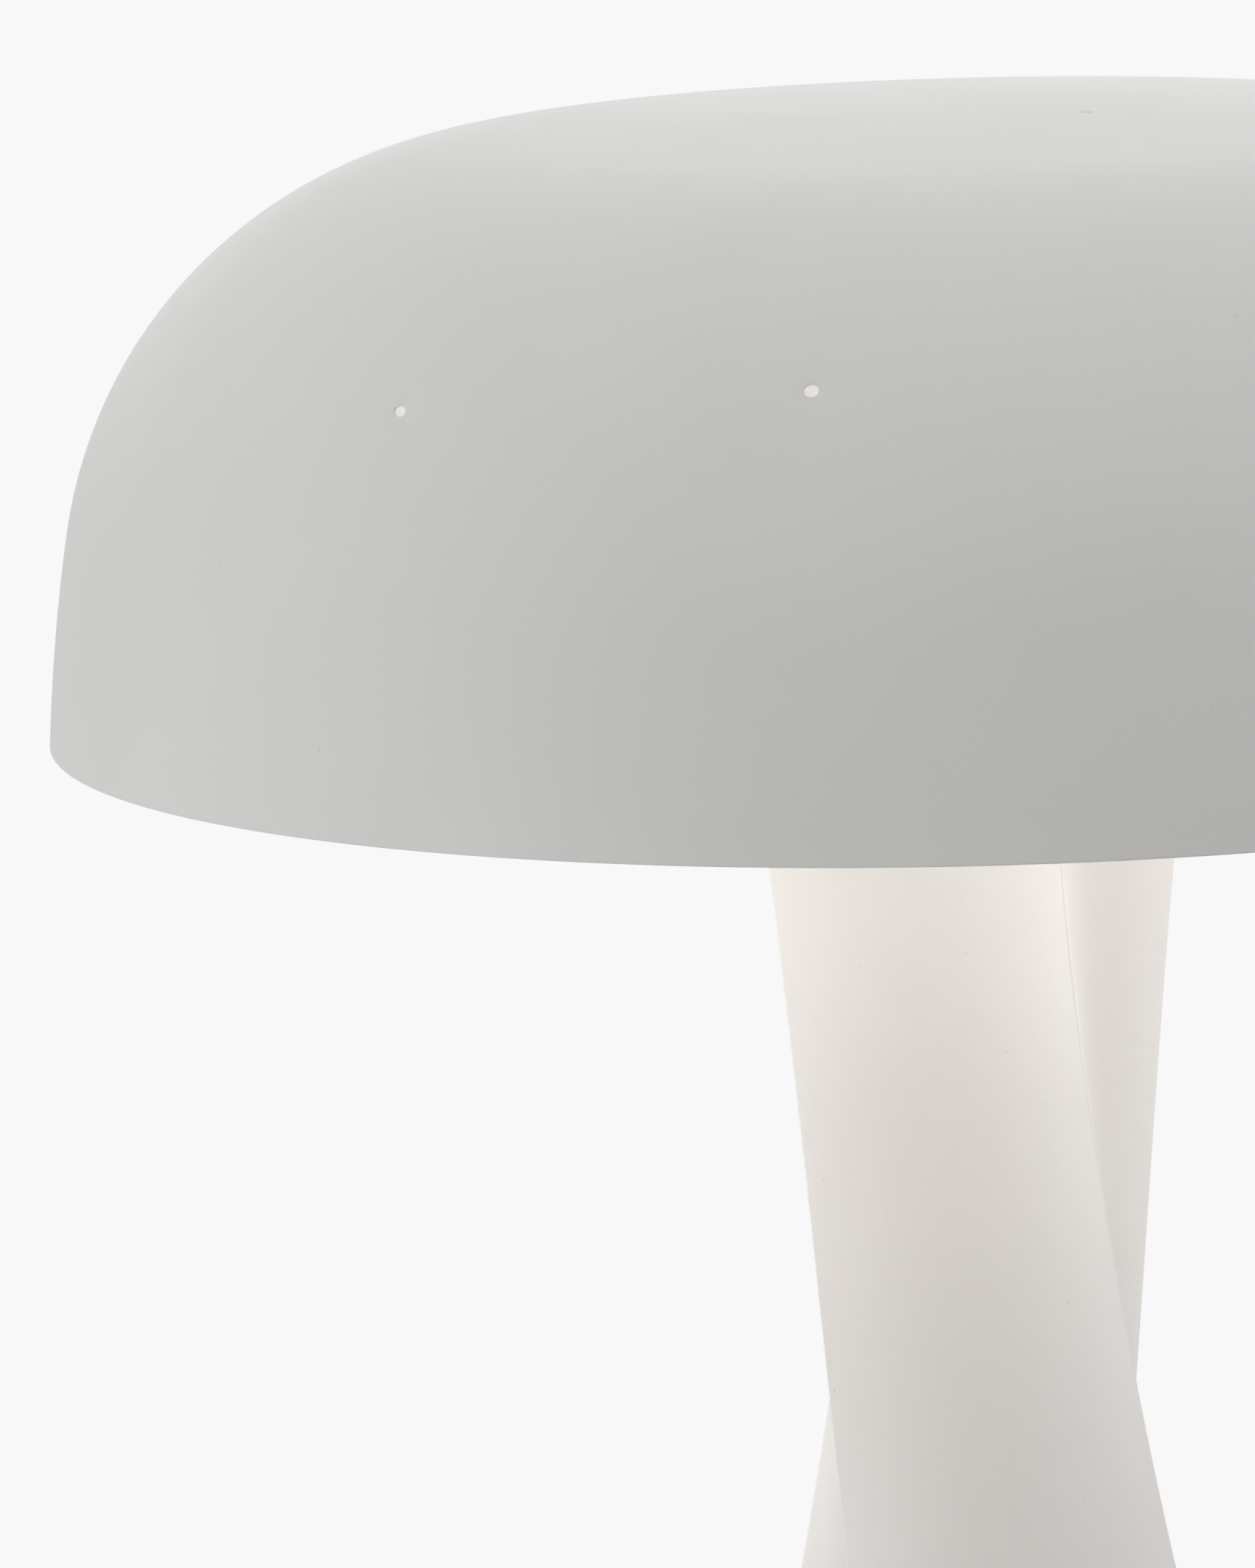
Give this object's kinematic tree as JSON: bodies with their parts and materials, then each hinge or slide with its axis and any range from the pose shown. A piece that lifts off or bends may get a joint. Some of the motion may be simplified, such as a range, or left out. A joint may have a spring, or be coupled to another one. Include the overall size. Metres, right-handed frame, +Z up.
{
  "type": "table lamp",
  "caption": "Table lamp with a low domed sheet-metal shade, drilled light holes and a hollow square stem that twists on its way up.",
  "frame": {"origin": "middle of the foot on the table", "axes": "+Z up along the stem, X and Y along the sides of the square foot, +Y towards the cord inlet"},
  "size_m": [0.3398, 0.3398, 0.413],
  "materials": {
    "shade_paint": "matt powder coat",
    "stem_paint": "matt powder coat",
    "carrier_paint": "satin paint",
    "zinc_steel": "zinc plated",
    "felt": "pressed felt",
    "soft_rubber": "translucent soft",
    "bush_plastic": "moulded",
    "holder_plastic": "moulded",
    "contact_brass": "plain",
    "cap_metal": "rolled thread",
    "button_plastic": "moulded",
    "bulb_plastic": "moulded",
    "board_metal": "plain",
    "opal_glass": "opal"
  },
  "bodies": {
    "stand": {"stem": "stem_paint", "top_plate": "stem_paint", "base_plate": "stem_paint", "carrier_hub": "carrier_paint", "carrier_arm_1": "carrier_paint", "carrier_arm_2": "carrier_paint", "carrier_arm_3": "carrier_paint", "base_nut": "zinc_steel", "base_washer": "zinc_steel", "threaded_tube": "zinc_steel", "cap_set_screw": "zinc_steel", "terminal_screws": "zinc_steel", "base_pad": "felt", "arm_pad_1": "soft_rubber", "arm_pad_2": "soft_rubber", "arm_pad_3": "soft_rubber", "cord_grommet": "bush_plastic", "holder_cap": "holder_plastic", "holder_core": "holder_plastic", "holder_skirt": "holder_plastic", "shell_contact": "contact_brass", "centre_contact": "contact_brass"},
    "shade": {"shade": "shade_paint"},
    "bulb_tip": {"bulb_tip": "cap_metal"},
    "bulb": {"bulb_globe": "opal_glass", "bulb_housing": "bulb_plastic", "bulb_screw_shell": "cap_metal", "bulb_insulator": "button_plastic", "bulb_board": "board_metal"}
  },
  "joints": [
    {"name": "shade_lift", "type": "slide", "parent": "stand", "child": "shade", "axis": [0, 0, 1], "range_m": [0, 0.13]},
    {"name": "bulb_rise", "type": "slide", "parent": "stand", "child": "bulb_tip", "axis": [0, 0, 1], "range_m": [0, 0.0142]},
    {"name": "bulb_turn", "type": "hinge", "parent": "bulb_tip", "child": "bulb", "pos_m": [0, 0, 0.34], "axis": [0, 0, 1], "range_deg": [0, 1800]}
  ],
  "couplings": [
    {"joint": "bulb_rise", "follows": "bulb_turn", "m_per_rad": 0.00044913}
  ]
}
